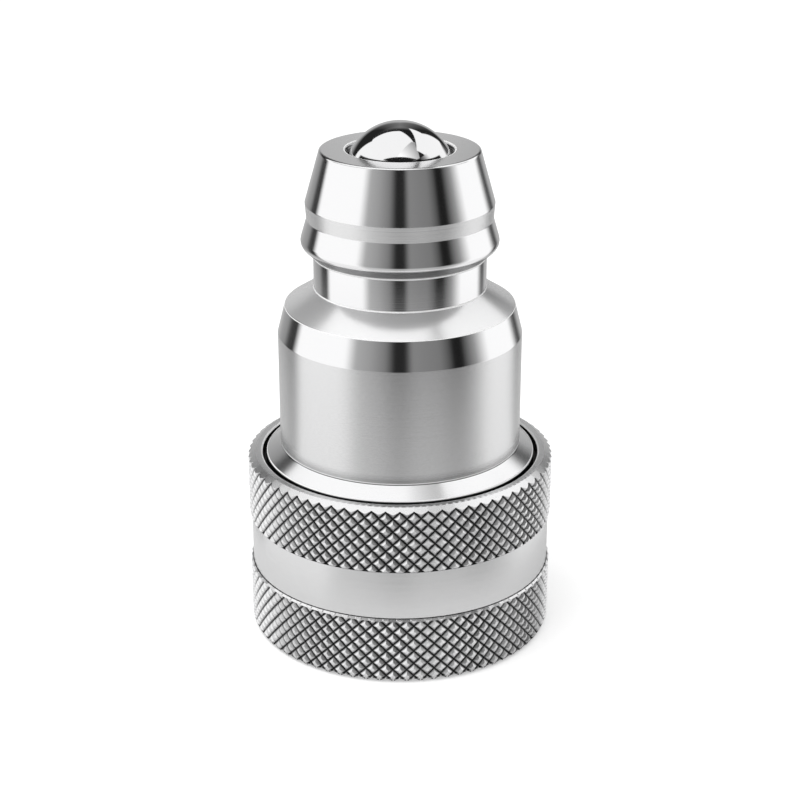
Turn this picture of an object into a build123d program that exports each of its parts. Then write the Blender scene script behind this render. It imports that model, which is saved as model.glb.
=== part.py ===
from build123d import *
from math import cos, hypot, pi, radians, sin, sqrt
import os

os.makedirs("parts", exist_ok=True)

# Hydraulic quick coupler: a male tip above, a ball-lock socket with a knurled sleeve below.
# Millimetres. Z is the axis, the nose points up, and the socket body's front face is at zero.

# Valve balls, their seats and the chambers behind them
valve_ball_r = 6.747
seat_inset = 0.547
seat_lip = 0.1
seat_gap = 0.03
nose_mouth_w = 0.4
nose_mouth_depth = 0.54
throat_cone_h = 3.97
socket_flow_w = 1.753

# Tip, outside, with heights from the joint upwards and widths from the mouth outwards
nose_face_w = 3.08
nose_cone_w = 1.8
nose_cone_h = 6.37
band_taper = 0.16
band_h = 1.97
collar_cone_w = 0.88
collar_cone_h = 3.0
collar_round = 1.0
undercut_w = 1.62
undercut_h = 1.43
neck_wall = 2.58
neck_len = 4.11
shoulder_cone_h = 2.25
steep_cone_w = 0.88
steep_cone_h = 3.45
barrel_len = 14.31
barrel_wall = 2.9
edge_break = 0.12

# Threaded joint between the two bodies, left plain here
spigot_wall = 3.5
spigot_gap = 0.05
spigot_chamfer = 0.5
joint_groove_offset = 1.0

# Flange and flare between the sleeve and the barrel
flare_w = 1.8
flare_h = 1.3
flange_edge_gap = 0.5
flange_edge_len = 1.35
guide_gap = 0.08
guide_len = 2.1

# Sleeve, outside
sleeve_wall = 1.8
sleeve_len = 22.55
front_proud = 0.5
foot_chamfer = 0.2
foot_chamfer_h = 0.4
knurl_pitch = 1.686
knurl_depth = 0.38
knurl_rows = 9
knurl_end_h = 0.2
plain_depth = 0.28
plain_lip = 0.07
bevel = 0.65
bevel_h = 0.39

# Sleeve, inside
recess_len = 1.6
recess_gap = 0.29
spring_step_w = 0.647
spring_step_rise = 3.2
unlock_travel = 5.0

# Lock balls, which move out as the sleeve is drawn back
lock_balls = 8
lock_ball_r = 2.778
lock_ball_rise = 3.3
lock_travel = 1.05
ball_inset = 1.43
hole_gap = 0.05
swing_gap = 0.09
land_overlap = 0.5

# Socket bores and the turned steps outside them
land_gap = 0.1
front_chamfer = 0.4
mouth_chamfer = 0.8
mouth_rise = 2.8
mouth_cone_w = 1.9
mouth_cone_h = 1.3
seal_lead = 1.8
seal_tail = 2.45
spring_room = 2.25
step_gap = 0.1

# Valve spider
spider_t = 2.2
spider_gap = 0.1
spider_hub_gap = 0.2
spider_hub_h = 1.5
spider_holes = 6
spider_web = 0.3

# Springs
valve_wire = 0.9
valve_coil_r = 3.6
nose_spring_turns = 6
socket_spring_turns = 3.5
socket_spring_len = 8.0
sleeve_wire = 1.6
sleeve_spring_turns = 2.25
coil_gap = 0.02
washer_t = 0.6
washer_gap = 0.15

# Seals
seal_cord = 2.2
seal_rise = 0.02
backup_t = 0.9
groove_gap = 0.05
joint_cord = 1.7

# Stop ring
ring_t = 1.0
ring_seat_gap = 0.03
ring_edge_gap = 0.1
ring_groove_depth = 0.75
ring_opening = 14.0

# Radii of the tip, from the ball outwards
seat_r = valve_ball_r - seat_inset
lip_r = seat_r - seat_lip
nose_mouth_r = lip_r + nose_mouth_w
nose_r = nose_mouth_r + nose_face_w
band_high_r = nose_r + nose_cone_w
band_low_r = band_high_r - band_taper
collar_r = band_low_r + collar_cone_w
neck_r = collar_r - undercut_w
nose_chamber_r = neck_r - neck_wall

# Radii of the joint, the barrel, the flange and the sleeve, from the ball outwards
socket_chamber_r = valve_ball_r + socket_flow_w
spigot_r = socket_chamber_r + spigot_wall
bore_r = spigot_r + spigot_gap
barrel_r = bore_r + barrel_wall
shoulder_r = barrel_r - steep_cone_w
flange_edge_r = barrel_r + flare_w
cavity_r = flange_edge_r + flange_edge_gap
guide_r = cavity_r - guide_gap
sleeve_r = cavity_r + sleeve_wall

# The land and the pass bore stay clear of a lock ball at every point of the sleeve's travel
lift_ratio = lock_travel / unlock_travel
land_r = cavity_r - spring_step_w
lock_circle_r = land_r - lock_ball_r - lift_ratio * land_overlap - swing_gap
pass_r = lock_circle_r + lock_ball_r + lift_ratio * lock_ball_rise + swing_gap
recess_r = lock_circle_r + lock_ball_r + lock_travel + recess_gap
front_r = land_r - land_gap
mouth_r = lock_circle_r - ball_inset
seal_bore_r = mouth_r - mouth_cone_w
seal_groove_r = seal_bore_r + seal_rise + seal_cord + groove_gap
ring_groove_r = front_r - ring_groove_depth
spring_zone_r = cavity_r - spring_room

# Heights of the socket end, from the front face upwards
recess_z = front_proud + recess_len
ring_z = recess_z - ring_seat_gap - ring_t
lock_ball_z = recess_z + lock_ball_rise
land_z = lock_ball_z - land_overlap
spring_step_z = lock_ball_z + spring_step_rise
mouth_z = lock_ball_z + mouth_rise
seal_bore_z = mouth_z + mouth_cone_h
seal_groove_z = seal_bore_z + seal_lead
seal_groove_len = seal_cord + backup_t + 3 * groove_gap
seal_bore_end_z = seal_groove_z + seal_groove_len + seal_tail
sleeve_top_z = front_proud + sleeve_len
guide_z = sleeve_top_z - flange_edge_len
flange_z = guide_z - guide_len

# Heights of the tip, each from the one below
joint_z = sleeve_top_z + flare_h
barrel_top_z = joint_z + barrel_len
shoulder_z = barrel_top_z + steep_cone_h
neck_z = shoulder_z + shoulder_cone_h
undercut_z = neck_z + neck_len
collar_z = undercut_z + undercut_h
band_z = collar_z + collar_cone_h
band_top_z = band_z + band_h
face_z = band_top_z + nose_cone_h

# A seat cone is tangent to its ball on the circle of seat_r, which sets its slope
gauge_r = valve_ball_r + seat_gap
seat_height = sqrt(gauge_r**2 - seat_r**2)
seat_slope = seat_height / seat_r
nose_lip_z = face_z - nose_mouth_depth
nose_seat_z = nose_lip_z - seat_lip / seat_slope
nose_ball_z = nose_seat_z - seat_height
nose_chamber_z = nose_seat_z - (nose_chamber_r - seat_r) / seat_slope
socket_lip_z = seal_bore_end_z + throat_cone_h
socket_seat_z = socket_lip_z + seat_lip / seat_slope
socket_ball_z = socket_seat_z + seat_height
socket_chamber_z = socket_seat_z + (socket_chamber_r - seat_r) / seat_slope

# The spider lies between the spigot's end and the tip's inner shoulder, above the socket spring
coil_height = sqrt((gauge_r + valve_wire / 2) ** 2 - valve_coil_r**2)
spigot_z = socket_ball_z + coil_height + socket_spring_len
spider_top_z = spigot_z + spider_t
joint_seal_r = bore_r - groove_gap - joint_cord / 2
joint_groove_r = joint_seal_r - joint_cord / 2 - groove_gap
joint_groove_z = joint_z + joint_groove_offset
joint_groove_len = joint_cord + 4 * groove_gap


def edge_near(part, radius, height):
    """The round edge of a turned part that has this radius at this height."""
    rounds = part.edges().filter_by(GeomType.CIRCLE)
    return rounds.sort_by(lambda e: hypot(e.radius - radius, e.center().Z - height))[0]


# Male tip, one turned piece from the nose face down to the end of the barrel
with BuildPart() as tip_body:
    with BuildSketch(Plane.XZ) as tip_section:
        with BuildLine():
            Polyline(
                (nose_mouth_r, face_z),
                (nose_r, face_z),
                (band_high_r, band_top_z),
                (band_low_r, band_z),
                (collar_r, collar_z),
                (neck_r, undercut_z),
                (neck_r, neck_z),
                (shoulder_r, shoulder_z),
                (barrel_r, barrel_top_z),
                (barrel_r, joint_z),
                (bore_r, joint_z),
                (bore_r, spider_top_z),
                (nose_chamber_r, spider_top_z),
                (nose_chamber_r, nose_chamber_z),
                (lip_r, nose_lip_z),
                (nose_mouth_r, nose_lip_z),
                close=True,
            )
        make_face()
    revolve(axis=Axis.Z)
    fillet(edge_near(tip_body, collar_r, collar_z), collar_round)
    for radius, height in (
        (nose_mouth_r, face_z),
        (nose_r, face_z),
        (neck_r, neck_z),
        (shoulder_r, shoulder_z),
        (barrel_r, barrel_top_z),
        (barrel_r, joint_z),
    ):
        chamfer(edge_near(tip_body, radius, height), edge_break)
    chamfer(edge_near(tip_body, bore_r, joint_z), spigot_chamfer)

# Radial hole of a lock ball, tapered at its inner end so that the ball can't fall through
hole_r = lock_ball_r + hole_gap
ball_lip_r = sqrt(lock_ball_r**2 - ball_inset**2) + hole_gap
with BuildPart() as lock_hole:
    with BuildSketch(Plane.XZ) as hole_section:
        with BuildLine():
            Polyline(
                (seal_bore_r, 0),
                (seal_bore_r, ball_lip_r),
                (mouth_r, ball_lip_r),
                (lock_circle_r - ball_inset / 2, hole_r),
                (cavity_r, hole_r),
                (cavity_r, 0),
                close=True,
            )
        make_face()
    revolve(axis=Axis.X)

# Socket body, turned: mouth, seal bore, ball seat and flange, with the spigot that joins the tip
with BuildPart() as socket_body:
    with BuildSketch(Plane.XZ) as socket_section:
        with BuildLine():
            Polyline(
                (mouth_r + mouth_chamfer, 0),
                (front_r - front_chamfer, 0),
                (front_r, front_chamfer),
                (front_r, ring_z),
                (ring_groove_r, ring_z),
                (ring_groove_r, ring_z + ring_t),
                (front_r, ring_z + ring_t),
                (front_r, spring_step_z - step_gap),
                (spring_zone_r, spring_step_z - step_gap),
                (spring_zone_r, flange_z),
                (guide_r, flange_z),
                (guide_r, guide_z),
                (flange_edge_r, guide_z),
                (flange_edge_r, sleeve_top_z),
                (barrel_r, joint_z),
                (spigot_r, joint_z),
                (spigot_r, joint_groove_z),
                (joint_groove_r, joint_groove_z),
                (joint_groove_r, joint_groove_z + joint_groove_len),
                (spigot_r, joint_groove_z + joint_groove_len),
                (spigot_r, spigot_z),
                (socket_chamber_r, spigot_z),
                (socket_chamber_r, socket_chamber_z),
                (lip_r, socket_lip_z),
                (seal_bore_r, seal_bore_end_z),
                (seal_bore_r, seal_groove_z + seal_groove_len),
                (seal_groove_r, seal_groove_z + seal_groove_len),
                (seal_groove_r, seal_groove_z),
                (seal_bore_r, seal_groove_z),
                (seal_bore_r, seal_bore_z),
                (mouth_r, mouth_z),
                (mouth_r, mouth_chamfer),
                close=True,
            )
        make_face()
    revolve(axis=Axis.Z)
    chamfer(edge_near(socket_body, flange_edge_r, sleeve_top_z), edge_break)
    chamfer(edge_near(socket_body, spigot_r, spigot_z), spigot_chamfer)
    with Locations((0, 0, lock_ball_z)):
        with PolarLocations(0, lock_balls):
            add(lock_hole.part, mode=Mode.SUBTRACT)

# Heights of the two knurl bands: one runs up from the foot, the other down from the bevel
knurl_teeth = round(2 * pi * sleeve_r / knurl_pitch)
row_h = pi * sleeve_r / knurl_teeth
band_rows_h = knurl_rows * row_h
foot_r = sleeve_r - foot_chamfer
bevel_r = sleeve_r - bevel
plain_r = sleeve_r - plain_depth
valley_r = sleeve_r - knurl_depth
lip_ring_r = plain_r + plain_lip
lower_z = front_proud + foot_chamfer_h
lower_end_z = lower_z + band_rows_h
upper_end_z = sleeve_top_z - bevel_h
upper_z = upper_end_z - band_rows_h
plain_low_z = lower_end_z + knurl_end_h
plain_high_z = upper_z - knurl_end_h

# Shift of each band's first and last row, in teeth: a diamond's corner meets the bevel at the front
lower_end_turn = 0.0
lower_turn = lower_end_turn - knurl_rows / 2
upper_end_turn = 0.5
upper_turn = upper_end_turn - knurl_rows / 2


def knurl_ring(radius, height, shift=0.0):
    """A ring of points, one for each knurl tooth, shifted by a share of a tooth."""
    points = []
    for tooth in range(knurl_teeth):
        angle = 2 * pi * (tooth + shift) / knurl_teeth
        points.append(Vector(radius * sin(angle), -radius * cos(angle), height))
    return points


def triangle(a, b, c):
    return Face(Wire.make_polygon([a, b, c]))


def diamonds(low_z, first_turn):
    """Faces of a diamond knurl: in each row every tooth is a pyramid between four valley points."""
    faces = []
    for row in range(knurl_rows + 1):
        height = low_z + row * row_h
        turn = first_turn + row / 2
        peaks = knurl_ring(sleeve_r, height, turn)
        lefts = knurl_ring(valley_r, height, turn - 0.5)
        rights = knurl_ring(valley_r, height, turn + 0.5)
        above = knurl_ring(valley_r, height + row_h, turn)
        below = knurl_ring(valley_r, height - row_h, turn)
        for peak, left, right, top, foot in zip(peaks, lefts, rights, above, below):
            if row < knurl_rows:
                faces += [triangle(peak, right, top), triangle(peak, top, left)]
            if row > 0:
                faces += [triangle(peak, left, foot), triangle(peak, foot, right)]
    return faces


def knurl_end(knurl_z, turn, end_r, end_z):
    """Faces from a knurl's first or last row to the same number of points on a plain edge."""
    peaks = knurl_ring(sleeve_r, knurl_z, turn)
    valleys = knurl_ring(valley_r, knurl_z, turn + 0.5)
    under_peaks = knurl_ring(end_r, end_z, turn)
    under_valleys = knurl_ring(end_r, end_z, turn + 0.5)
    faces = []
    for tooth, peak in enumerate(peaks):
        for valley, under_valley in (
            (valleys[tooth], under_valleys[tooth]),
            (valleys[tooth - 1], under_valleys[tooth - 1]),
        ):
            faces.append(triangle(peak, valley, under_peaks[tooth]))
            faces.append(triangle(valley, under_valley, under_peaks[tooth]))
    return faces


def rim(radius, height, turn):
    """Closed outline through the points of a plain edge beside a knurl."""
    whole = knurl_ring(radius, height, turn)
    half = knurl_ring(radius, height, turn + 0.5)
    points = [point for pair in zip(whole, half) for point in pair]
    return Wire.make_polygon(points, close=True)


def flat_ring(outer, hole_r, height):
    return Face(outer, [Wire.make_circle(hole_r, Plane.XY.offset(height))])


# Bore of the sleeve: front recess, ball land, spring step and guide bore
with BuildPart() as sleeve_bore:
    with BuildSketch(Plane.XZ) as bore_section:
        with BuildLine():
            Polyline(
                (0, front_proud),
                (recess_r + edge_break, front_proud),
                (recess_r, front_proud + edge_break),
                (recess_r, recess_z),
                (pass_r, recess_z),
                (pass_r, land_z - pass_r + land_r),
                (land_r, land_z),
                (land_r, spring_step_z),
                (cavity_r, spring_step_z),
                (cavity_r, sleeve_top_z - edge_break),
                (cavity_r + edge_break, sleeve_top_z),
                (0, sleeve_top_z),
                close=True,
            )
        make_face()
    revolve(axis=Axis.Z)

# Plain band between the knurls
with BuildPart() as plain_band:
    with BuildSketch(Plane.XY.offset(plain_low_z)):
        Circle(plain_r)
    extrude(amount=plain_high_z - plain_low_z)

bore_ends = sleeve_bore.faces().filter_by(GeomType.PLANE).sort_by(Axis.Z)
bore_walls = [face for face in sleeve_bore.faces() if face not in (bore_ends[0], bore_ends[-1])]
band_walls = plain_band.faces().filter_by(GeomType.CYLINDER)

sleeve_faces = [
    *bore_walls,
    *band_walls,
    *diamonds(lower_z, lower_turn),
    *diamonds(upper_z, upper_turn),
    *knurl_end(lower_z, lower_turn, foot_r, front_proud),
    *knurl_end(lower_end_z, lower_end_turn, lip_ring_r, plain_low_z),
    *knurl_end(upper_z, upper_turn, lip_ring_r, plain_high_z),
    *knurl_end(upper_end_z, upper_end_turn, bevel_r, sleeve_top_z),
    flat_ring(rim(foot_r, front_proud, lower_turn), recess_r + edge_break, front_proud),
    flat_ring(rim(lip_ring_r, plain_low_z, lower_end_turn), plain_r, plain_low_z),
    flat_ring(rim(lip_ring_r, plain_high_z, upper_turn), plain_r, plain_high_z),
    flat_ring(rim(bevel_r, sleeve_top_z, upper_end_turn), cavity_r + edge_break, sleeve_top_z),
]

# Locking sleeve, one piece with both diamond bands
with BuildPart() as sleeve:
    add(Solid(Shell(sleeve_faces)))

# Nose ball, held up against the seat inside the tip
with BuildPart() as nose_ball:
    with Locations((0, 0, nose_ball_z)):
        Sphere(valve_ball_r)

# Socket ball, held down against the seat above the seal bore
with BuildPart() as socket_ball:
    with Locations((0, 0, socket_ball_z)):
        Sphere(valve_ball_r)

# Valve spider: a pierced disc with a hub for each valve spring, clamped between the bodies
spider_hub_r = valve_coil_r - valve_wire / 2 - spider_hub_gap
flow_inner_r = valve_coil_r + valve_wire / 2
flow_hole_r = (nose_chamber_r - flow_inner_r) / 2 - spider_web
with BuildPart() as valve_spider:
    with BuildSketch(Plane.XY.offset(spigot_z)):
        Circle(bore_r - spider_gap)
        with PolarLocations((nose_chamber_r + flow_inner_r) / 2, spider_holes):
            Circle(flow_hole_r, mode=Mode.SUBTRACT)
    extrude(amount=spider_t)
    with BuildSketch(Plane.XY.offset(spigot_z - spider_hub_h)):
        Circle(spider_hub_r)
    extrude(amount=spider_t + 2 * spider_hub_h)
    for height in (spigot_z - spider_hub_h, spider_top_z + spider_hub_h):
        chamfer(edge_near(valve_spider, spider_hub_r, height), spigot_chamfer)


def coil_spring(low_z, high_z, coil_r, wire, turns):
    """A spring whose first and last wire centres are at these heights."""
    with BuildPart() as spring:
        with BuildLine() as coil:
            Helix((high_z - low_z) / turns, high_z - low_z, coil_r, center=(0, 0, low_z))
        with BuildSketch(coil.line ^ 0):
            Circle(wire / 2)
        sweep(is_frenet=True)
    return spring


# Valve springs, each from the spider to its ball, and the sleeve spring under the flange
coil_clear = valve_wire / 2 + coil_gap
nose_spring = coil_spring(
    spider_top_z + coil_clear, nose_ball_z - coil_height, valve_coil_r, valve_wire, nose_spring_turns
)
socket_spring = coil_spring(
    socket_ball_z + coil_height, spigot_z - coil_clear, valve_coil_r, valve_wire, socket_spring_turns
)
washer_top_z = spring_step_z + washer_t
sleeve_coil_clear = sleeve_wire / 2 + coil_gap
sleeve_coil_r = (spring_zone_r + cavity_r) / 2
sleeve_spring = coil_spring(
    washer_top_z + sleeve_coil_clear,
    flange_z - sleeve_coil_clear,
    sleeve_coil_r,
    sleeve_wire,
    sleeve_spring_turns,
)

# Thrust washer between the sleeve's step and its spring
with BuildPart() as spring_washer:
    with BuildSketch(Plane.XY.offset(spring_step_z)):
        Circle(cavity_r - washer_gap)
        Circle(spring_zone_r + washer_gap, mode=Mode.SUBTRACT)
    extrude(amount=washer_t)

# Snap ring that stops the sleeve at the front, open at one side
ring_inner_r = ring_groove_r + groove_gap
ring_outer_r = recess_r - ring_edge_gap
with BuildPart() as sleeve_stop_ring:
    with BuildSketch(Plane.XZ.rotated((0, 0, ring_opening / 2))):
        with Locations(((ring_inner_r + ring_outer_r) / 2, ring_z + ring_t / 2)):
            Rectangle(ring_outer_r - ring_inner_r, ring_t - 2 * coil_gap)
    revolve(axis=Axis.Z, revolution_arc=360 - ring_opening)

# Seal of the socket bore with the backup ring on its front side
backup_z = seal_groove_z + groove_gap
seal_z = backup_z + backup_t + groove_gap + seal_cord / 2
with BuildPart() as socket_seal:
    with BuildSketch(Plane.XZ):
        with Locations((seal_bore_r + seal_rise + seal_cord / 2, seal_z)):
            Circle(seal_cord / 2)
    revolve(axis=Axis.Z)
with BuildPart() as socket_backup_ring:
    with BuildSketch(Plane.XY.offset(backup_z)):
        Circle(seal_groove_r - groove_gap)
        Circle(seal_bore_r + seal_rise, mode=Mode.SUBTRACT)
    extrude(amount=backup_t)

# Seal of the joint between the bodies
with BuildPart() as joint_seal:
    with BuildSketch(Plane.XZ):
        with Locations((joint_seal_r, joint_groove_z + joint_groove_len / 2)):
            Circle(joint_cord / 2)
    revolve(axis=Axis.Z)

# Lock balls, each half inside the mouth at rest
for index in range(lock_balls):
    angle = radians(360 / lock_balls * index)
    with BuildPart() as lock_ball:
        with Locations((lock_circle_r * cos(angle), lock_circle_r * sin(angle), lock_ball_z)):
            Sphere(lock_ball_r)
    lock_ball.part.label = f"lock_ball_{index + 1}"
    export_step(lock_ball.part, f"parts/lock_ball_{index + 1}.step")

for piece, name in (
    (tip_body, "tip_body"),
    (nose_ball, "nose_ball"),
    (nose_spring, "nose_spring"),
    (valve_spider, "valve_spider"),
    (joint_seal, "joint_seal"),
    (socket_body, "socket_body"),
    (socket_ball, "socket_ball"),
    (socket_spring, "socket_spring"),
    (socket_seal, "socket_seal"),
    (socket_backup_ring, "socket_backup_ring"),
    (sleeve, "sleeve"),
    (sleeve_spring, "sleeve_spring"),
    (spring_washer, "spring_washer"),
    (sleeve_stop_ring, "sleeve_stop_ring"),
):
    piece.part.label = name
    export_step(piece.part, f"parts/{name}.step")
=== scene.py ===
import bpy
import bmesh
from math import acos, atan2, cos, hypot, pi, radians, sin, tan
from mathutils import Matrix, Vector


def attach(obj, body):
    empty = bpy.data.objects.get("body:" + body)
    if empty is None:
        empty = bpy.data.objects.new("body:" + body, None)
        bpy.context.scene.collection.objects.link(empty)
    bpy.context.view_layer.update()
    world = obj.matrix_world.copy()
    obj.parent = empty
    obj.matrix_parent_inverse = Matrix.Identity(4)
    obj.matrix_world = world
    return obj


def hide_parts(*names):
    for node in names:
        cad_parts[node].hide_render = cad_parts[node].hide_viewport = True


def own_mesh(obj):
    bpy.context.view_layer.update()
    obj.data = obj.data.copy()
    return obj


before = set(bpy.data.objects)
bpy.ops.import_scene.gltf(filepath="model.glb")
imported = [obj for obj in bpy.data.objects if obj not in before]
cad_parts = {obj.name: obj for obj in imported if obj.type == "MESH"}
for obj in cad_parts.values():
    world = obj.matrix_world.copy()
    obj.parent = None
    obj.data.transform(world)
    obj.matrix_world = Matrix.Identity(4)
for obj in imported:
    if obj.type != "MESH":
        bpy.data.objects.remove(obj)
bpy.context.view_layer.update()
scene = bpy.context.scene
millimetre = 0.001
print("frame loaded:", len(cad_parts), "nodes")


class Signal:  # one output socket that takes part in sums

    def __init__(self, board, socket):
        self.board = board
        self.socket = socket

    def maths(self, operation, first, second=0.5):
        return self.board.node("ShaderNodeMath", {"operation": operation}, {0: first, 1: second})

    def output(self, name):  # another output of the same node
        return Signal(self.board, self.socket.node.outputs[name])

    def __add__(self, other):
        return self.maths("ADD", self, other)

    def __radd__(self, other):
        return self.maths("ADD", other, self)

    def __sub__(self, other):
        return self.maths("SUBTRACT", self, other)

    def __rsub__(self, other):
        return self.maths("SUBTRACT", other, self)

    def __mul__(self, other):
        return self.maths("MULTIPLY", self, other)

    def __rmul__(self, other):
        return self.maths("MULTIPLY", other, self)

    def __truediv__(self, other):
        return self.maths("DIVIDE", self, other)

    def __rtruediv__(self, other):
        return self.maths("DIVIDE", other, self)

    def __mod__(self, other):
        return self.maths("FLOORED_MODULO", self, other)

    def __gt__(self, other):
        return self.maths("GREATER_THAN", self, other)

    def __lt__(self, other):
        return self.maths("LESS_THAN", self, other)

    def most(self, other):
        return self.maths("MAXIMUM", self, other)

    def floor(self):
        return self.maths("FLOOR", self)

    def root(self):
        return self.maths("SQRT", self)

    def angleTo(self, other):
        return self.maths("ARCTAN2", self, other)


class Board:  # a node tree and the one way nodes are put on it

    def __init__(self, tree):
        self.tree = tree

    def node(self, kind, settings=None, sockets=None, out=0):
        made = self.tree.nodes.new(kind)
        for name, value in (settings or {}).items():
            if name == "stops":
                elements = made.color_ramp.elements
                while len(elements) < len(value):
                    elements.new(0.5)
                for element, (place, tone) in zip(elements, value):
                    element.position = place
                    element.color = (tone, tone, tone, 1)
            elif name == "interpolation":
                made.color_ramp.interpolation = value
            else:
                setattr(made, name, value)
        for name, value in (sockets or {}).items():
            if isinstance(value, Signal):
                self.tree.links.new(value.socket, made.inputs[name])
            else:
                made.inputs[name].default_value = value
        return Signal(self, made.outputs[out]) if made.outputs else made


def newBoard(owner):  # empties the nodes of a material or the world
    owner.use_nodes = True
    owner.node_tree.nodes.clear()
    return Board(owner.node_tree)


def newFinish(name, constants):  # a material and its shader, with the fixed values straight on its sockets
    material = bpy.data.materials.new(name)
    board = newBoard(material)
    shader = board.node("ShaderNodeBsdfPrincipled", None, constants)
    board.node("ShaderNodeOutputMaterial", None, {"Surface": shader})
    return material, board, shader.socket.node


def feed(board, shader, sockets):
    for name, signal in sockets.items():
        board.tree.links.new(signal.socket, shader.inputs[name])


def objectPlace(board):  # x, y and z in the shared frame, in millimetres
    place = board.node("ShaderNodeTexCoord", None, None, "Object")
    scaled = board.node("ShaderNodeVectorMath", {"operation": "SCALE"}, {0: place, "Scale": 1 / millimetre})
    parts = board.node("ShaderNodeSeparateXYZ", None, {0: scaled})
    return parts, parts.output("Y"), parts.output("Z")


def radiusOf(x, y):  # distance from the part's axis
    return (x * x + y * y).root()


def softStep(value, low, high, first=0.0, last=1.0):  # goes from first to last between two values
    return value.board.node("ShaderNodeMapRange", {"clamp": True}, {0: value, 1: low, 2: high, 3: first, 4: last})


def softFall(value, low, high):
    return softStep(value, low, high, 1.0, 0.0)


def between(value, low, high, blur=0.04):  # 1 between two values, with a short soft step at each
    return softStep(value, low - blur, low + blur) * softFall(value, high - blur, high + blur)


def windowOf(zone, radius, z, blur=0.04):  # 1 inside a ring given by its heights and its radii
    low, high, inner, outer = zone
    return between(z, low, high, blur) * between(radius, inner, outer, blur)


def toneMix(board, mask, first, second, blend="MIX"):  # mixes two colours, each fixed or from a node
    sides = [tone if isinstance(tone, Signal) else (*tone, 1) for tone in (first, second)]
    settings = {"data_type": "RGBA", "clamp_factor": True, "blend_type": blend}
    return board.node("ShaderNodeMix", settings, {0: mask, 6: sides[0], 7: sides[1]}, 2)


def lineNoise(board, along, detail):  # noise along one measure, as a turning tool leaves it
    return board.node("ShaderNodeTexNoise", {"noise_dimensions": "1D"}, {"W": along, "Detail": detail})


cameraPlan = {
    "lens": 81.3,
    "sensor": 36,
    "near": 0.005,
    "away": 0.20876,
    "height": 0.1131,
    "down": 21.88,
}

cameraData = bpy.data.cameras.new("photoCamera")
cameraData.lens = cameraPlan["lens"]
cameraData.sensor_width = cameraPlan["sensor"]
cameraData.clip_start = cameraPlan["near"]
camera = bpy.data.objects.new("photoCamera", cameraData)
camera.location = (0, -cameraPlan["away"], cameraPlan["height"])
camera.rotation_euler = (radians(90 - cameraPlan["down"]), 0, 0)
scene.collection.objects.link(camera)
scene.camera = camera
scene.view_settings.view_transform = "Standard"

studio = {
    "background": 1.0,
    "fill": 0.75,
    "floorSize": 1.6,
    "floorTone": 0.8,
    "floorGlow": 0.44,
    "underRadius": 17.0,
    "lampPower": 0.9,
    "lampSize": 0.35,
    "lampPlace": (-0.18, -0.12, 0.42),
    "lampAim": (0, 0, 0.02),
}

world = bpy.data.worlds.new("studio")
scene.world = world
sky = newBoard(world)
ray = sky.node("ShaderNodeLightPath", None, None, "Is Camera Ray")
seen = ray.most(ray.output("Is Glossy Ray")).most(ray.output("Is Transmission Ray"))
strength = seen * (studio["background"] - studio["fill"]) + studio["fill"]
backdrop = sky.node("ShaderNodeBackground", None, {0: (1, 1, 1, 1), 1: strength})
sky.node("ShaderNodeOutputWorld", None, {0: backdrop})


def meshObject(name, points, faces, smooth=True):
    mesh = bpy.data.meshes.new(name)
    mesh.from_pydata([Vector(point) * millimetre for point in points], [], faces)
    mesh.validate()
    made = bpy.data.objects.new(name, mesh)
    scene.collection.objects.link(made)
    for polygon in mesh.polygons:
        polygon.use_smooth = smooth
    return made


def studioFloor(plan):
    half = plan["floorSize"] / 2 / millimetre
    corners = [(-half, -half, 0), (half, -half, 0), (half, half, 0), (-half, half, 0)]
    floor = meshObject("studioFloor", corners, [(0, 1, 2, 3)], False)
    paint = bpy.data.materials.new("floorPaint")
    board = newBoard(paint)
    matt = board.node("ShaderNodeBsdfDiffuse", None, {"Color": (*(plan["floorTone"],) * 3, 1)})
    direct = board.node("ShaderNodeLightPath", None, None, "Is Camera Ray")
    light = direct * plan["floorGlow"]
    glow = board.node("ShaderNodeEmission", None, {"Color": (1, 1, 1, 1), "Strength": light})
    both = board.node("ShaderNodeAddShader", None, {0: matt, 1: glow})
    x, y = objectPlace(board)[:2]
    underPart = radiusOf(x, y) < plan["underRadius"]
    behind = board.node("ShaderNodeNewGeometry", None, None, "Backfacing")
    opened = behind.most(underPart * (1 - direct))  # clear from below, and light reaches the underside
    clear = board.node("ShaderNodeBsdfTransparent")
    surface = board.node("ShaderNodeMixShader", None, {0: opened, 1: both, 2: clear})
    board.node("ShaderNodeOutputMaterial", None, {"Surface": surface})
    floor.data.materials.append(paint)


studioFloor(studio)

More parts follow.
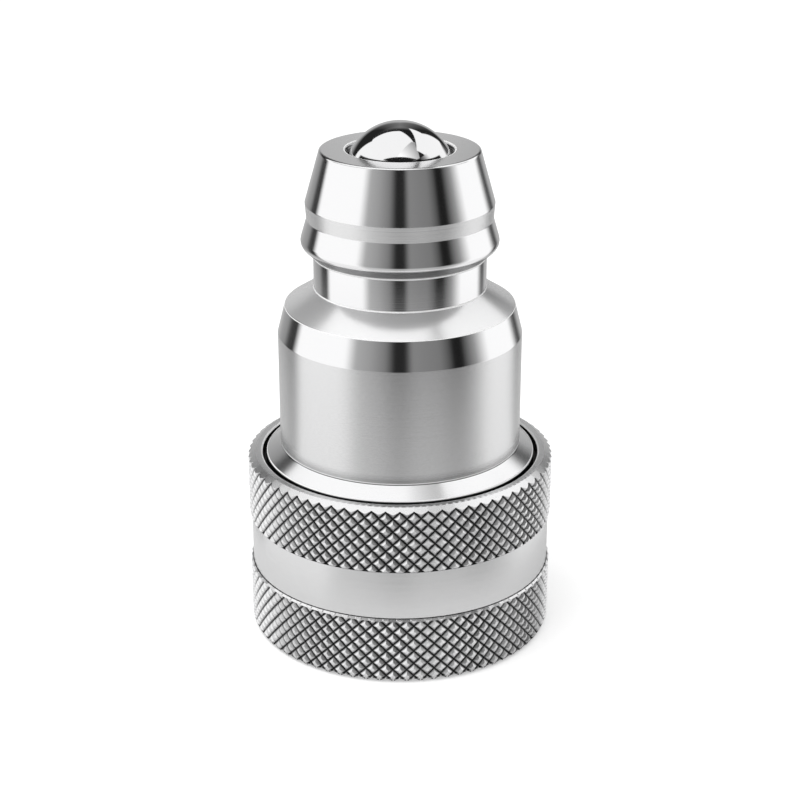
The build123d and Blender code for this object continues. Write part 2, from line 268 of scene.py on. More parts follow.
# The round screen that the steel mirrors, in millimetres. An edge is soft from its first value to its second,
# and a line gives the shares of x and y in the distance from it, and its offset.
screenPlan = {
    "steps": 120,
    "radius": 95.0,
    "top": 150.0,
    "hole": 0.5,  # radius of the hole in the ceiling, and how far below the top its paint begins
    "skirtRadius": 40.0,
    "skirtHeights": (0.15, 0.3),
    "stops": [  # grey of the wall, from behind over the left, the front and the right
        (0.000, 0.52), (0.070, 0.50), (0.111, 0.38), (0.148, 0.30), (0.172, 0.07), (0.200, 0.02),
        (0.222, 1.12), (0.368, 1.12), (0.395, 0.45), (0.430, 0.36), (0.465, 0.22), (0.487, 0.020),
        (0.513, 0.020), (0.530, 0.26), (0.595, 0.21), (0.618, 0.10), (0.630, 0.012), (0.652, 0.012),
        (0.690, 0.34), (0.730, 1.12), (0.826, 1.12), (0.856, 0.16), (0.874, 0.06), (0.902, 0.44),
        (0.960, 0.52), (1.000, 0.52),
    ],
    "leftLean": (43.0, 150.0, 0.0, 0.125),  # the dark stripes lean backwards as they rise
    "rightLean": (58.0, 150.0, 0.0, 0.102),
    "leanFrom": (-10.0, 30.0),
    "footTone": 0.84,  # the foot of the wall fades to this grey
    "skirtShare": (0.38, 0.55),
    "wallShare": (0.3, 20.0, 0.0, 0.45),
    "sideTone": 1.12,  # the light high up on the right
    "sideNear": (-10.0, 0.0),
    "sideFar": (76.0, 79.0),
    "sideAbove": (88.0, 92.0),
    "rearTone": (0.20, 0.0045, 0.02),  # behind: grey in the middle, loss for each millimetre, least grey
    "rearFrom": (50.0, 53.0),
    "rearShift": 26.0,  # how much farther back it begins on the right
    "rearHeight": (112.0, 0.45, 0.45),  # middle height, and how fast it sinks outwards, with more on the right
    "rearRise": (-20.0, 4.0),
    "browSlope": 0.42,  # the slanting dark line that edges the ball's lights
    "browHeight": 116.0,
    "browFoot": (-14.0, -11.0),
    "browHead": (-2.0, 0.0),
    "browBack": (28.0, 34.0),
    "browDark": 0.98,
    "boxLight": 1.1,  # the two light boxes in the ceiling
    "cornerLine": (0.79, 0.61, 29.5),  # the left box's cut corner
    "cornerEdge": (-1.0, 0.5),
    "backLine": (0.17, 1.0, 0.0),
    "backEdge": (46.0, 48.0),
    "leftFront": (-67.0, -65.0),
    "foldLine": (0.87, -0.49, 24.0),  # between the left box and its dim facet
    "foldEdge": (-0.5, 1.0),
    "facetBack": (0.0, 6.0),
    "facetTone": (0.68, 0.0086, 0.009),
    "nearLine": (0.955, 0.296, 41.0),  # the right box's near edge
    "facetEdge": (-2.0, -1.0),
    "nearEdge": (0.0, 1.5),
    "rightBack": (76.0, 80.0),
    "rightFront": (-27.0, -24.0),
    "ceilingTone": 0.015,
    "duskFrom": (58.0, 80.0),
}


def distanceFrom(line, x, y):
    shareX, shareY, offset = line
    return x * shareX + y * shareY - offset


def screenWall(board, plan, x, y, z):  # grey of the upright part, and the dim grey behind
    left = x < 0.0
    right = 1 - left
    wide = x.maths("ABSOLUTE", x)
    lean = softStep(z, *plan["leftLean"]) * left - softStep(z, *plan["rightLean"]) * right
    turn = x.angleTo(0 - y) / (2 * pi) + 0.5 + softStep(y, *plan["leanFrom"]) * lean
    wall = board.node("ShaderNodeValToRGB", {"stops": plan["stops"], "interpolation": "LINEAR"}, {0: turn})
    footing = softStep(radiusOf(x, y), plan["skirtRadius"], plan["radius"], *plan["skirtShare"])
    footing = footing + softStep(z, *plan["wallShare"])
    wall = wall * footing + (1 - footing) * plan["footTone"]
    side = right * softFall(y, *plan["sideFar"]) * softStep(y, *plan["sideNear"]) * softStep(z, *plan["sideAbove"])
    wall = wall * (1 - side) + side * plan["sideTone"]
    middle, spread, extra = plan["rearHeight"]
    rise = z + wide * (right * extra + spread) - middle
    behind = softStep(y - right * plan["rearShift"], *plan["rearFrom"]) * softStep(rise, *plan["rearRise"])
    tone, loss, least = plan["rearTone"]
    rearTone = (tone - wide * loss).most(least)
    wall = wall * (1 - behind) + behind * rearTone
    brow = z + y * plan["browSlope"] - plan["browHeight"]
    shut = softStep(brow, *plan["browFoot"]) * softFall(brow, *plan["browHead"]) * softFall(y, *plan["browBack"])
    return wall * (1 - shut * plan["browDark"]), rearTone


def screenCeiling(plan, x, y):  # brightness of the light boxes overhead
    corner = distanceFrom(plan["cornerLine"], x, y)
    near = distanceFrom(plan["nearLine"], x, y)
    fold = distanceFrom(plan["foldLine"], x, y)
    back = distanceFrom(plan["backLine"], x, y)
    leftBox = softFall(corner, *plan["cornerEdge"]) * softFall(back, *plan["backEdge"])
    facet = softStep(fold, *plan["foldEdge"]) * softFall(y, *plan["facetBack"])
    leftBox = leftBox.most(facet * softFall(near, *plan["facetEdge"])) * softStep(y, *plan["leftFront"])
    rightBox = softStep(near, *plan["nearEdge"]) * softFall(y, *plan["rightBack"]) * softStep(y, *plan["rightFront"])
    tone, fadeY, fadeX = plan["facetTone"]
    facetTone = tone - y * fadeY - x * fadeX
    return (leftBox * (1 - facet * (1 - facetTone))).most(rightBox)


def ringScreen(plan):  # a screen and ceiling with two light boxes, seen by reflections alone
    steps = plan["steps"]
    low, high = plan["skirtHeights"]
    profile = [(plan["skirtRadius"], low), (plan["radius"], high)]
    profile += [(plan["radius"], plan["top"]), (plan["hole"], plan["top"])]
    points = []
    faces = []
    for step in range(steps):
        angle = 2 * pi * step / steps
        points += [(radius * sin(angle), -radius * cos(angle), height) for radius, height in profile]
        here = step * len(profile)
        there = (step + 1) % steps * len(profile)
        for place in range(len(profile) - 1):
            faces.append((here + place, there + place, there + place + 1, here + place + 1))
    screen = meshObject("studioScreen", points, faces, False)
    paint = bpy.data.materials.new("screenPaint")
    board = newBoard(paint)
    x, y, z = objectPlace(board)
    wall, rearTone = screenWall(board, plan, x, y, z)
    ceiling = screenCeiling(plan, x, y)
    dusk = softStep(y, *plan["duskFrom"]) * rearTone
    overhead = z > plan["top"] - plan["hole"]
    tone = wall * (1 - overhead) + overhead * (ceiling * plan["boxLight"] + plan["ceilingTone"] + dusk)
    glow = board.node("ShaderNodeEmission", None, {"Color": (1, 1, 1, 1), "Strength": tone})
    board.node("ShaderNodeOutputMaterial", None, {"Surface": glow})
    screen.data.materials.append(paint)
    screen.visible_camera = False
    screen.visible_diffuse = False
    screen.visible_shadow = False
    screen.visible_transmission = False


ringScreen(screenPlan)

lampData = bpy.data.lights.new("softLamp", "AREA")
lampData.energy = studio["lampPower"]
lampData.size = studio["lampSize"]
lamp = bpy.data.objects.new("softLamp", lampData)
lamp.location = studio["lampPlace"]
lamp.rotation_euler = (Vector(studio["lampAim"]) - lamp.location).to_track_quat("-Z", "Y").to_euler()
scene.collection.objects.link(lamp)
lamp.visible_glossy = False
print("studio ready")

softening = {
    "steps": 4,  # steps in a rounded corner
    "support": 0.03,  # the short edge beside it that keeps the surface flat
    "room": 0.45,  # share of the shorter side that it may take
    "leastBend": 2,  # degrees
}


def softened(corners, rounding):  # a profile whose corners have small rounds
    steps = softening["steps"]
    support = softening["support"]
    soft = [corners[0]]
    for before, corner, after in zip(corners, corners[1:], corners[2:]):
        radius = corner[2] if len(corner) > 2 else rounding
        here = Vector(corner[:2])
        inward = Vector(before[:2]) - here
        outward = Vector(after[:2]) - here
        room = min(inward.length, outward.length) * softening["room"]
        inward.normalize()
        outward.normalize()
        bend = pi - acos(max(-1, min(1, inward.dot(outward))))
        if bend < radians(softening["leastBend"]):
            soft.append(tuple(here))
            continue
        cut = min(radius * tan(bend / 2), room)
        radius = cut / tan(bend / 2)
        start = here + inward * cut
        end = here + outward * cut
        centre = here + (inward + outward).normalized() * hypot(cut, radius)
        soft.append(tuple(start + inward * support))
        first = start - centre
        last = end - centre
        for step in range(steps + 1):
            soft.append(tuple(centre + first.slerp(last, step / steps) * radius))
        soft.append(tuple(end + outward * support))
    soft.append(corners[-1])
    return [point[:2] for point in soft]


def turnedMesh(name, profiles, segments, closed=True):  # profiles turned round the part's axis
    points = []
    faces = []
    for profile in profiles:
        base = len(points)
        count = len(profile)
        for step in range(segments):
            angle = 2 * pi * step / segments
            for radius, height in profile:
                points.append((radius * sin(angle), -radius * cos(angle), height))
        loops = count if closed else count - 1
        for step in range(segments):
            here = base + step * count
            there = base + (step + 1) % segments * count
            for place in range(loops):
                following = (place + 1) % count
                faces.append((here + place, there + place, there + following, here + following))
    return meshObject(name, points, faces)


closeness = {  # points nearer than this are one; the first two in metres, the others in millimetres
    "piece": 2e-7,
    "band": 1e-7,
    "patch": 1e-5,
    "cut": 1e-6,
    "rim": 1e-4,
}


def finished(piece, node, body, material, crease=38):  # the last steps of a piece that replaces a node
    work = bmesh.new()
    work.from_mesh(piece.data)
    bmesh.ops.remove_doubles(work, verts=work.verts, dist=closeness["piece"])
    bmesh.ops.recalc_face_normals(work, faces=work.faces)
    work.to_mesh(piece.data)
    work.free()
    for polygon in piece.data.polygons:
        polygon.use_smooth = True
    piece.data.set_sharp_from_angle(angle=radians(crease))
    piece.data.materials.clear()
    piece.data.materials.append(material)
    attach(piece, body)
    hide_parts(node)


steelTone = {
    "polished": (0.86, 0.86, 0.865),
    "satin": (0.78, 0.78, 0.783),
    # The darkest tone is painted shade for grooves, recesses, gaps and undersides; the edge tone is a painted
    # highlight on thin rings at edges.
    "paintedShade": (0.05, 0.05, 0.051),
    "edge": (0.97, 0.97, 0.97),
}

# A pair is the value on polished steel and what satin adds to it, or the least value and what grain adds
turningPlan = {
    "ringsPerMm": 11.0,
    "ringDetail": 3.0,
    "wavesPerMm": 1.3,
    "waveDetail": 1.0,
    "waveHeight": 0.3,
    "grainTurns": 30.0,
    "grainPerMm": 14.0,
    "grainDetail": 2.0,
    "grainTone": (0.82, 0.3),
    "grainShare": (0.12, 0.5),
    "anisotropy": 0.35,
    "polishedRough": 0.10,
    "satinRough": 0.22,
    "ringRough": 0.10,
    "ringShare": (0.2, 0.8),
    "ringHeight": (0.15, 0.85),
    "darkRough": 0.3,
    "highlightBlur": 0.015,
    "highlightRough": 0.35,
    "highlightMatt": 0.85,
    "bump": 0.20,
    "bumpDepth": 0.00002,
}


def blended(pair, share):
    least, added = pair
    return share * added + least


def turnedSteel(name, zones, plan):  # polished steel with satin and soft rings, rings of painted shade and thin rings of painted highlight
    material, board, shader = newFinish(name, {"Anisotropic": plan["anisotropy"]})
    x, y, z = objectPlace(board)
    radius = radiusOf(x, y)
    along = radius + z  # runs along the profile on walls, cones and flat faces alike
    rings = lineNoise(board, along * plan["ringsPerMm"], plan["ringDetail"])
    waves = lineNoise(board, along * plan["wavesPerMm"], plan["waveDetail"])
    turn = x.angleTo(y) * plan["grainTurns"]
    grainPlace = board.node("ShaderNodeCombineXYZ", None, {0: turn, 1: along * plan["grainPerMm"]})
    grainSockets = {"Vector": grainPlace, "Scale": 1.0, "Detail": plan["grainDetail"]}
    grain = board.node("ShaderNodeTexNoise", None, grainSockets)
    satin = None
    for low, high in zones["satin"]:
        zone = between(z, low, high)
        satin = satin.most(zone) if satin else zone
    rough = plan["polishedRough"] + satin * (plan["satinRough"] - plan["polishedRough"])
    metal = 1.0
    for low, high, extra, matt in zones["soft"]:
        zone = between(z, low, high)
        rough = rough + zone * extra
        metal = metal - zone * matt
    rough = rough + (rings - 0.5) * (plan["ringRough"] * blended(plan["ringShare"], satin))
    tone = toneMix(board, satin, steelTone["polished"], steelTone["satin"])
    # painted shade: each dark window darkens and roughens the steel where shade falls
    for window, share, blur in zones["dark"]:
        zone = windowOf(window, radius, z, blur) * share
        tone = toneMix(board, zone, tone, steelTone["paintedShade"])
        rough = rough + zone * plan["darkRough"]
    grey = blended(plan["grainTone"], grain)
    grained = board.node("ShaderNodeCombineColor", None, {0: grey, 1: grey, 2: grey})
    tone = toneMix(board, blended(plan["grainShare"], satin), tone, grained, "MULTIPLY")
    # painted highlight: thin white, rougher, less metallic rings at the edges
    for window in zones["edges"]:
        zone = windowOf(window, radius, z, plan["highlightBlur"])
        tone = toneMix(board, zone, tone, steelTone["edge"])
        rough = rough + zone * plan["highlightRough"]
        metal = metal * (1 - zone * plan["highlightMatt"])
    height = rings * blended(plan["ringHeight"], satin) + waves * plan["waveHeight"]
    bumpSockets = {"Strength": plan["bump"], "Distance": plan["bumpDepth"], "Height": height}
    bump = board.node("ShaderNodeBump", None, bumpSockets)
    feed(board, shader, {"Base Color": tone, "Roughness": rough, "Metallic": metal, "Normal": bump})
    return material


# Satin: two heights. Soft: two heights, added roughness, lost metal. Dark: painted shade in a window of two heights
# and two radii, its share and its blur. Edges: windows of painted highlight on edges.
tipZones = {
    "satin": [(24.4, 38.6), (52.95, 54.82)],
    "soft": [(42.15, 44.4, 0.09, 0.38), (52.95, 54.82, 0.04, 0.35), (61.2, 61.3, 0.08, 0.12)],
    # painted shade inside the bore up to the mouth, at the barrel's foot and under the collar
    "dark": [
        ((0.0, 61.0, 0.0, 6.45), 0.9, 0.04),
        ((24.3, 24.42, 14.7, 15.0), 0.9, 0.02),
        ((24.3, 25.2, 14.7, 15.0), 0.6, 0.5),
        ((48.48, 49.62, 10.4, 12.2), 0.78, 0.06),
    ],
    # painted highlights: thin bright rings at the mouth, the neck, the barrel's foot and the shoulder's edge
    "edges": [
        (61.0, 61.3, 6.47, 6.69), (44.34, 44.5, 10.3, 10.64), (48.26, 48.42, 10.3, 10.56),
        (24.46, 24.6, 14.7, 15.0), (42.06, 42.14, 14.0, 14.12),
    ],
}
tipSteel = turnedSteel("tipSteel", tipZones, turningPlan)
socketZones = {
    "satin": [(0.0, 22.7)],
    "soft": [(23.1, 24.3, 0.06, 0.0)],
    # painted shade on the flange's outer wall, in the gap under the sleeve
    "dark": [((0.3, 23.0, 16.6, 18.0), 0.97, 0.02)],
    # painted highlight on the flange's edge
    "edges": [(23.03, 23.16, 16.6, 16.78)],
}
socketSteel = turnedSteel("socketSteel", socketZones, turningPlan)

# Heights and radii in millimetres
knurlFinish = {
    "ringsPerMm": 11.0,
    "ringDetail": 3.0,
    "fineScale": 2500.0,
    "fineDetail": 2.0,
    "fineHeight": 0.5,
    "plainBand": (8.75, 14.8),
    "grooveShadeFade": (18.73, 18.88),  # painted shade on a groove's floor, fading out to the bright tooth
    "bevelFoot": 22.49,
    "bevelRadius": 19.05,
    "bevelSlope": 0.61,
    "top": 23.0,
    "topRadius": 18.1,
    # lines of painted shade at the steps between the knurl and the plain band
    "lipShadeLines": [(8.66, 8.75), (14.81, 14.92)],
    "lipBlur": 0.01,
    "rimHighlightHeights": (22.85, 23.1, 0.02),  # painted highlight on the inner edge of the top, each with its blur
    "rimHighlightRadii": (17.2, 17.42, 0.015),
    # painted shade inside the bore, above the given height
    "boreShadeFade": (17.3, 17.36),
    "boreShadeFrom": 9.0,
    "rough": {
        "all": 0.14, "band": 0.06, "rim": 0.35, "top": 0.10, "end": 0.12, "knurl": 0.14, "fine": 0.12,
        "rings": 0.05,
    },
    "rimHighlightMatt": 0.85,
    "knurlMatt": 0.12,
    "bump": 0.2,
    "bumpDepth": 0.00002,
}


def knurledSteel(plan):  # bright teeth over grooves with painted shade on their floors, with a plain band, a bevel, two lips with lines of painted shade, painted shade in the bore and a painted highlight on the top's inner edge
    material, board, shader = newFinish("knurledSteel", {})
    x, y, z = objectPlace(board)
    radius = radiusOf(x, y)
    rings = lineNoise(board, (radius + z) * plan["ringsPerMm"], plan["ringDetail"])
    place = board.node("ShaderNodeTexCoord", None, None, "Object")
    fineSockets = {"Vector": place, "Scale": plan["fineScale"], "Detail": plan["fineDetail"]}
    fine = board.node("ShaderNodeTexNoise", None, fineSockets)
    band = between(z, *plan["plainBand"])
    # 1 on the teeth, 0 where painted shade darkens the groove floors
    depth = softStep(radius, *plan["grooveShadeFade"])
    onTop = z > plan["top"]
    end = (z > plan["bevelFoot"] + (plan["bevelRadius"] - radius) * plan["bevelSlope"]).most(onTop)
    # lines of painted shade at the two lips
    lowLip, highLip = [between(z, *heights, plan["lipBlur"]) for heights in plan["lipShadeLines"]]
    lipShadeLines = lowLip + highLip
    # painted highlight: a white, rougher, less metallic ring on the top's inner edge
    rim = between(z, *plan["rimHighlightHeights"]) * between(radius, *plan["rimHighlightRadii"])
    # painted shade inside the bore
    bore = softFall(radius, *plan["boreShadeFade"]) * (z > plan["boreShadeFrom"])
    # steel keeps its own tone here; elsewhere it takes the painted shade tone
    unshaded = depth.most(end).most(band) * (1 - bore) * (1 - lipShadeLines)
    tone = toneMix(board, unshaded, steelTone["paintedShade"], steelTone["polished"])
    tone = toneMix(board, band * (1 - lipShadeLines), tone, steelTone["satin"])
    tone = toneMix(board, rim, tone, steelTone["edge"])
    knurled = (1 - band) * (1 - end)
    top = onTop * (radius < plan["topRadius"])
    added = plan["rough"]
    rough = added["all"] + band * added["band"] + rim * added["rim"] + top * added["top"] + end * added["end"]
    rough = rough + knurled * added["knurl"] + (fine - 0.5) * added["fine"] * knurled
    rough = rough + (rings - 0.5) * added["rings"]
    metal = 1 - rim * plan["rimHighlightMatt"] - knurled * plan["knurlMatt"]
    height = fine * plan["fineHeight"] * knurled + rings * band
    bumpSockets = {"Strength": plan["bump"], "Distance": plan["bumpDepth"], "Height": height}
    bump = board.node("ShaderNodeBump", None, bumpSockets)
    feed(board, shader, {"Base Color": tone, "Roughness": rough, "Metallic": metal, "Normal": bump})
    return material


knurlSteel = knurledSteel(knurlFinish)

# Tone, its spread, roughness, metal, scale of the grain and bump
plainPlans = {
    "ballChrome": ((0.80, 0.80, 0.805), 0.02, 0.055, 1.0, 900.0, 0.0),
    "springWire": ((0.42, 0.42, 0.43), 0.12, 0.32, 1.0, 1600.0, 0.15),
    "ringSteel": ((0.20, 0.20, 0.21), 0.15, 0.42, 1.0, 1400.0, 0.15),
    "sealRubber": ((0.03, 0.03, 0.03), 0.25, 0.62, 0.0, 1200.0, 0.15),
    "backupPlastic": ((0.82, 0.81, 0.77), 0.04, 0.45, 0.0, 900.0, 0.15),
}
grainPlan = {
    "fineDetail": 3.0,
    "broadSteps": 9,  # how much broader the second grain is
    "broadDetail": 2.0,
    "fineShare": 0.5,
    "roughSwing": 0.08,
    "bumpDepth": 0.00003,
}


def plainFinish(name, tone, spread, rough, metal, scale, bump):  # one tone with a fine and a broad grain
    material, board, shader = newFinish(name, {"Metallic": metal})
    place = board.node("ShaderNodeTexCoord", None, None, "Object")
    fineSockets = {"Vector": place, "Scale": scale, "Detail": grainPlan["fineDetail"]}
    fine = board.node("ShaderNodeTexNoise", None, fineSockets)
    broadScale = scale / grainPlan["broadSteps"]
    broadSockets = {"Vector": place, "Scale": broadScale, "Detail": grainPlan["broadDetail"]}
    broad = board.node("ShaderNodeTexNoise", None, broadSockets)
    mask = fine * grainPlan["fineShare"] + broad * (1 - grainPlan["fineShare"])
    dark = [part * (1 - spread) for part in tone]
    light = [min(1, part * (1 + spread)) for part in tone]
    colour = toneMix(board, mask, dark, light)
    bumpSockets = {"Strength": bump, "Distance": grainPlan["bumpDepth"], "Height": fine}
    ground = board.node("ShaderNodeBump", None, bumpSockets)
    varied = rough + (mask - 0.5) * grainPlan["roughSwing"]
    feed(board, shader, {"Base Color": colour, "Roughness": varied, "Normal": ground})
    return material


plain = {name: plainFinish(name, *plan) for name, plan in plainPlans.items()}
print("finishes ready")

# Radius and height of each corner, and its rounding where it has one of its own
tipPlan = {
    "rounding": 0.10,
    "segments": 256,
    "profile": [
        (6.5, 60.7), (6.5, 61.24, 0.16), (9.58, 61.24, 0.32), (11.38, 54.87, 0.05), (11.22, 52.9, 0.05),
        (12.1, 49.9, 1.0), (10.48, 48.47, 0.12), (10.48, 44.36, 0.2), (14.07, 42.11), (14.95, 38.66),
        (14.95, 24.35, 0.15), (12.55, 24.35, 0.02), (12.05, 24.85, 0.02), (12.05, 40.3995), (7.9, 40.3995),
        (7.9, 56.62148), (6.1, 60.7, 0.05), (6.5, 60.7),
    ],
}


def maleTip(plan):
    profile = softened(plan["profile"], plan["rounding"])[:-1]
    tip = turnedMesh("turnedTip", [profile], plan["segments"])
    finished(tip, "tip_body", "coupler_body", tipSteel)


maleTip(tipPlan)
print("tip turned")

ballPlan = {"radius": 6.747, "height": 57.7371, "rings": 96, "segments": 192}


def noseBall(plan):
    profile = []
    for ring in range(plan["rings"] + 1):
        angle = -pi / 2 + pi * ring / plan["rings"]
        profile.append((plan["radius"] * cos(angle), plan["height"] + plan["radius"] * sin(angle)))
    ball = turnedMesh("polishedBall", [profile], plan["segments"], False)
    finished(ball, "nose_ball", "nose_ball", plain["ballChrome"])


noseBall(ballPlan)
print("nose ball polished")

sleevePlan = {
    "teeth": 71,
    "rows": 9,
    "outer": 19.05,
    "depth": 0.38,
    "pillow": 1.35,
    "crown": 0.33,
    "swell": 0.05,  # how much of a tooth's height its crown still curves
    "gridLines": (0.0, 0.08, 0.33, 0.5, 0.67, 0.92, 1.0),
    "foot": (18.85, 0.5),
    "lowerStart": 0.9,
    "lipRadius": 18.84,
    "bandRadius": 18.77,
    "endHeight": 0.2,
    "grooveStop": [(19.0, 0.32), (18.6, 0.5)],  # radii and drops of the ring that ends the lower grooves
    "upperEnd": 22.66,
    "bevelDrop": 0.14,
    "bevelEdge": (18.15, 23.05),
    "bore": [
        (18.85, 0.5), (17.868, 0.5), (17.748, 0.62), (17.748, 2.1), (17.191, 2.1), (17.191, 4.312),
        (16.603, 4.9), (16.603, 8.6), (17.25, 8.6), (17.25, 22.90, 0.02), (17.40, 23.05, 0.02),
        (18.15, 23.05),
    ],
    "roundings": (0.06, 0.03, 0.02),  # of the bore, the plain band and the groove stop
    "segmentsPerTooth": 4,
    "crease": 28,
}


def toothHeight(across, along, plan):  # 0 in the grooves round a tooth, 1 on its crown
    sides = [1 - abs(2 * share - 1) for share in (across, along)]
    crown = 1 - (1 - 2 * plan["crown"]) ** plan["pillow"]
    lift = min(1, min(1 - (1 - side) ** plan["pillow"] for side in sides) / crown)
    return lift * (1 - plan["swell"] + plan["swell"] * min(sides))


def toothPatch(turn, height, plan):  # one diamond, bent round the sleeve, at a share of a tooth and a height
    rowHeight = pi * plan["outer"] / plan["teeth"]
    toothAngle = 2 * pi / plan["teeth"]
    lines = plan["gridLines"]
    count = len(lines)
    points = []
    for across in lines:
        for along in lines:
            angle = toothAngle * (turn + (across - along) / 2)
            lift = height + rowHeight * (across + along - 1)
            radius = plan["outer"] - plan["depth"] * (1 - toothHeight(across, along, plan))
            points.append((radius * sin(angle), -radius * cos(angle), lift))
    faces = []
    for row in range(count - 1):
        for place in range(count - 1):
            corner = row * count + place
            ring = (corner, corner + count, corner + count + 1, corner + 1)
            if row == place:  # the ridges run along the diagonals
                faces += [(ring[0], ring[1], ring[2]), (ring[0], ring[2], ring[3])]
            elif row + place == count - 2:
                faces += [(ring[0], ring[1], ring[3]), (ring[1], ring[2], ring[3])]
            else:
                faces.append(ring)
    return points, faces


def edgeJoined(work, place, normal, edge):  # faces from the last cut to a round edge of the sleeve
    radius, height = edge
    place = Vector(place)
    normal = Vector(normal).normalized()
    rim = [
        line for line in work.edges
        if line.is_boundary and all(abs((end.co - place).dot(normal)) < closeness["rim"] for end in line.verts)
    ]
    twins = {}
    for line in rim:
        for end in line.verts:
            if end not in twins:
                angle = atan2(end.co.x, -end.co.y)
                twins[end] = work.verts.new((radius * sin(angle), -radius * cos(angle), height))
    for line in rim:
        first, last = line.verts
        work.faces.new((first, last, twins[last], twins[first]))


def toothPiece(name, patches, cuts=(), edge=None):  # patches cut by planes, then joined to a round edge
    work = bmesh.new()
    for points, faces in patches:
        corners = [work.verts.new(Vector(point)) for point in points]
        for face in faces:
            work.faces.new([corners[index] for index in face])
    bmesh.ops.remove_doubles(work, verts=work.verts, dist=closeness["patch"])
    for place, normal in cuts:
        everything = work.verts[:] + work.edges[:] + work.faces[:]
        bmesh.ops.bisect_plane(
            work, geom=everything, dist=closeness["cut"], plane_co=place, plane_no=normal, clear_outer=True
        )
    if edge:
        edgeJoined(work, *cuts[-1], edge)
    mesh = bpy.data.meshes.new(name)
    bmesh.ops.scale(work, vec=(millimetre,) * 3, verts=work.verts)
    bmesh.ops.recalc_face_normals(work, faces=work.faces)
    work.to_mesh(mesh)
    work.free()
    return bpy.data.objects.new(name, mesh)


def sidePlane(side, plan):  # the upright plane half a tooth to the left, -1, or to the right, 1
    angle = pi / plan["teeth"] * side
    return (0, 0, 0), (side * cos(angle), side * sin(angle), 0)


def endPiece(name, side, plan, start, edge, drop=0.0):  # side is 1 where the band ends upwards, at start
    rowHeight = pi * plan["outer"] / plan["teeth"]
    patches = [toothPatch(0, 0, plan)]
    patches += [toothPatch(turn, side * rowHeight, plan) for turn in (-0.5, 0.5)]
    radius, height = edge
    rise = side * (height - start) + drop
    slope = (0, -rise, side * (plan["outer"] - radius))  # outward, on the line from the skin to the edge
    cuts = [sidePlane(-1, plan), sidePlane(1, plan), ((0, -plan["outer"], -drop), slope)]
    return toothPiece(name, patches, cuts, (radius, height - start))


def knurlTree():  # rows of teeth round a sleeve, with a cut row at each end
    tree = bpy.data.node_groups.new("knurlBand", "GeometryNodeTree")
    tree.is_modifier = True
    face = tree.interface
    face.new_socket("Geometry", in_out="INPUT", socket_type="NodeSocketGeometry")
    for name in ("Tooth", "Lower end", "Upper end"):
        face.new_socket(name, in_out="INPUT", socket_type="NodeSocketObject")
    for name in ("Teeth", "Rows"):
        face.new_socket(name, in_out="INPUT", socket_type="NodeSocketInt")
    for name in ("Row height", "First height", "First turn"):
        face.new_socket(name, in_out="INPUT", socket_type="NodeSocketFloat")
    face.new_socket("Finish", in_out="INPUT", socket_type="NodeSocketMaterial")
    face.new_socket("Geometry", in_out="OUTPUT", socket_type="NodeSocketGeometry")
    board = Board(tree)
    given = board.node("NodeGroupInput")
    teeth = given.output("Teeth")
    rows = given.output("Rows")

    def ringsOf(shape, count, firstRow):
        number = board.node("GeometryNodeInputIndex")
        row = (number / teeth).floor() + firstRow
        column = number % teeth
        height = given.output("First height") + row * given.output("Row height")
        turn = given.output("First turn") + row * 0.5 + column
        line = board.node("GeometryNodePoints", None, {"Count": count * teeth})
        place = board.node("ShaderNodeCombineXYZ", None, {"Z": height})
        placed = board.node("GeometryNodeSetPosition", None, {"Geometry": line, "Position": place})
        angle = board.node("ShaderNodeCombineXYZ", None, {"Z": turn * (2 * pi) / teeth})
        piece = board.node("GeometryNodeObjectInfo", None, {"Object": given.output(shape)}, "Geometry")
        spread = {"Points": placed, "Instance": piece, "Rotation": angle}
        return board.node("GeometryNodeInstanceOnPoints", None, spread)

    joined = board.node("GeometryNodeJoinGeometry")
    for part in (
        given.output("Geometry"),
        ringsOf("Tooth", rows - 1, 1),
        ringsOf("Lower end", 1, 0),
        ringsOf("Upper end", 1, rows),
    ):
        tree.links.new(part.socket, joined.socket.node.inputs[0])
    real = board.node("GeometryNodeRealizeInstances", None, {0: joined})
    welded = board.node("GeometryNodeMergeByDistance", None, {"Geometry": real, "Distance": closeness["band"]})
    dressed = board.node("GeometryNodeSetMaterial", None, {"Geometry": welded, "Material": given.output("Finish")})
    board.node("NodeGroupOutput", None, {0: dressed})
    return tree


def setInputs(modifier, values):
    for item in modifier.node_group.interface.items_tree:
        if item.in_out == "INPUT" and item.name in values:
            modifier[item.identifier] = values[item.name]


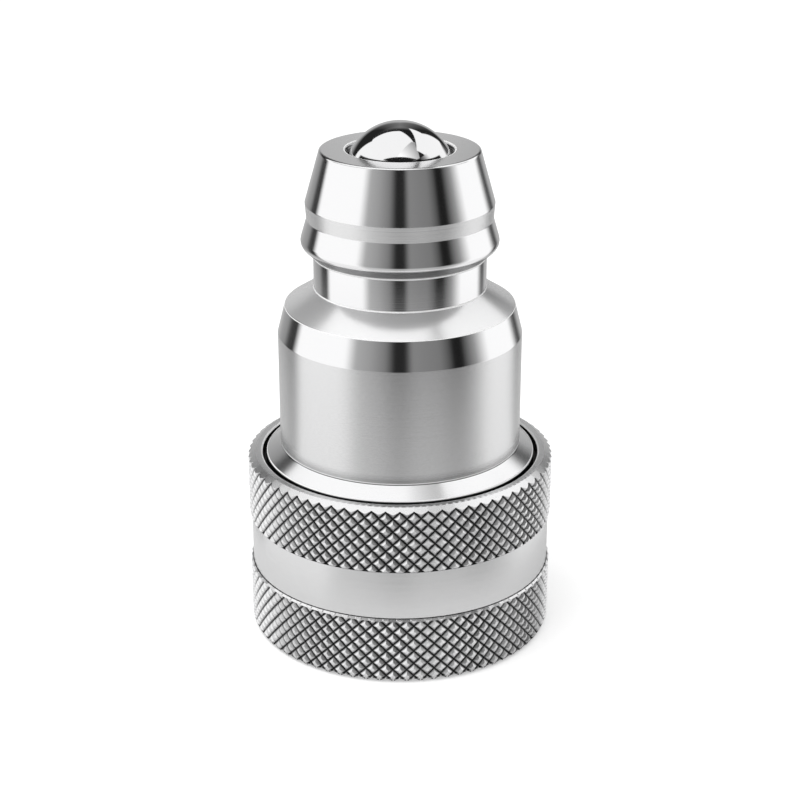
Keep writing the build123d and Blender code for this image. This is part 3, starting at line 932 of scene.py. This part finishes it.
def knurledSleeve(plan):
    rowHeight = pi * plan["outer"] / plan["teeth"]
    bandHeight = plan["rows"] * rowHeight
    lower = plan["lowerStart"]
    lowerEnd = lower + bandHeight
    upperEnd = plan["upperEnd"]
    upper = upperEnd - bandHeight
    lipRadius = plan["lipRadius"]
    bandRadius = plan["bandRadius"]
    lowLip = lowerEnd + plan["endHeight"]
    highLip = upper - plan["endHeight"]
    plainBand = [(lipRadius, lowLip), (bandRadius, lowLip), (bandRadius, highLip), (lipRadius, highLip)]
    grooveStop = [(radius, lowLip - drop) for radius, drop in plan["grooveStop"][::-1]] + [(lipRadius, lowLip)]
    profiles = (plan["bore"][::-1], plainBand, grooveStop)
    core = [softened(profile, rounding) for profile, rounding in zip(profiles, plan["roundings"])]
    sleeve = turnedMesh("knurledSleeve", core, plan["teeth"] * plan["segmentsPerTooth"], False)
    tooth = toothPiece("tooth", [toothPatch(0, 0, plan)])
    ends = {
        "foot": endPiece("footEnd", -1, plan, lower, plan["foot"]),
        "lowTop": endPiece("lowTopEnd", 1, plan, lowerEnd, (lipRadius, lowLip)),
        "highFoot": endPiece("highFootEnd", -1, plan, upper, (lipRadius, highLip)),
        "bevel": endPiece("bevelEnd", 1, plan, upperEnd, plan["bevelEdge"], plan["bevelDrop"]),
    }
    tree = knurlTree()
    for name, start, turn, first, last in (
        ("lowerBand", lower, -plan["rows"] / 2, "foot", "lowTop"),
        ("upperBand", upper, 0.5 - plan["rows"] / 2, "highFoot", "bevel"),
    ):
        band = sleeve.modifiers.new(name, "NODES")
        band.node_group = tree
        setInputs(band, {
            "Tooth": tooth,
            "Lower end": ends[first],
            "Upper end": ends[last],
            "Teeth": plan["teeth"],
            "Rows": plan["rows"],
            "Row height": rowHeight * millimetre,
            "First height": start * millimetre,
            "First turn": turn,
            "Finish": knurlSteel,
        })
    bpy.context.view_layer.update()
    shaped = bpy.data.meshes.new_from_object(sleeve.evaluated_get(bpy.context.evaluated_depsgraph_get()))
    sleeve.modifiers.clear()
    sleeve.data = shaped
    print("sleeve triangles:", sum(len(face.vertices) - 2 for face in shaped.polygons))
    finished(sleeve, "sleeve", "sleeve", knurlSteel, plan["crease"])


knurledSleeve(sleevePlan)
print("sleeve knurled")

# Springs, copied from their nodes: joint, height of the end that stays, travel of the other
springPlan = {
    "sleeve_spring": ("sleeve_slide", 19.6, 5.0),
    "nose_spring": ("nose_ball_travel", 40.4, 4.0),
    "socket_spring": ("socket_ball_travel", 38.2, 4.06),  # a hair more, since its wire flattens too
}


def shorteningSpring(name, joint, fixedEnd, travel):
    coil = bpy.data.objects.new(joint + "Coil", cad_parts[name].data.copy())
    scene.collection.objects.link(coil)
    finished(coil, name, "coupler_body", plain["springWire"])
    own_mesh(coil)


for name, plan in springPlan.items():
    shorteningSpring(name, *plan)
print("springs ready")

# CAD nodes that keep their shape, as the eight lock balls do
keptFinishes = {
    "socket_body": socketSteel,
    "socket_ball": plain["ballChrome"],
    "valve_spider": socketSteel,
    "spring_washer": plain["springWire"],
    "sleeve_stop_ring": plain["ringSteel"],
    "socket_seal": plain["sealRubber"],
    "joint_seal": plain["sealRubber"],
    "socket_backup_ring": plain["backupPlastic"],
}
for name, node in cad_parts.items():
    finish = keptFinishes.get(name, plain["ballChrome"] if name.startswith("lock_ball") else None)
    if finish:
        node.data.materials.clear()
        node.data.materials.append(finish)
print("kept nodes finished")
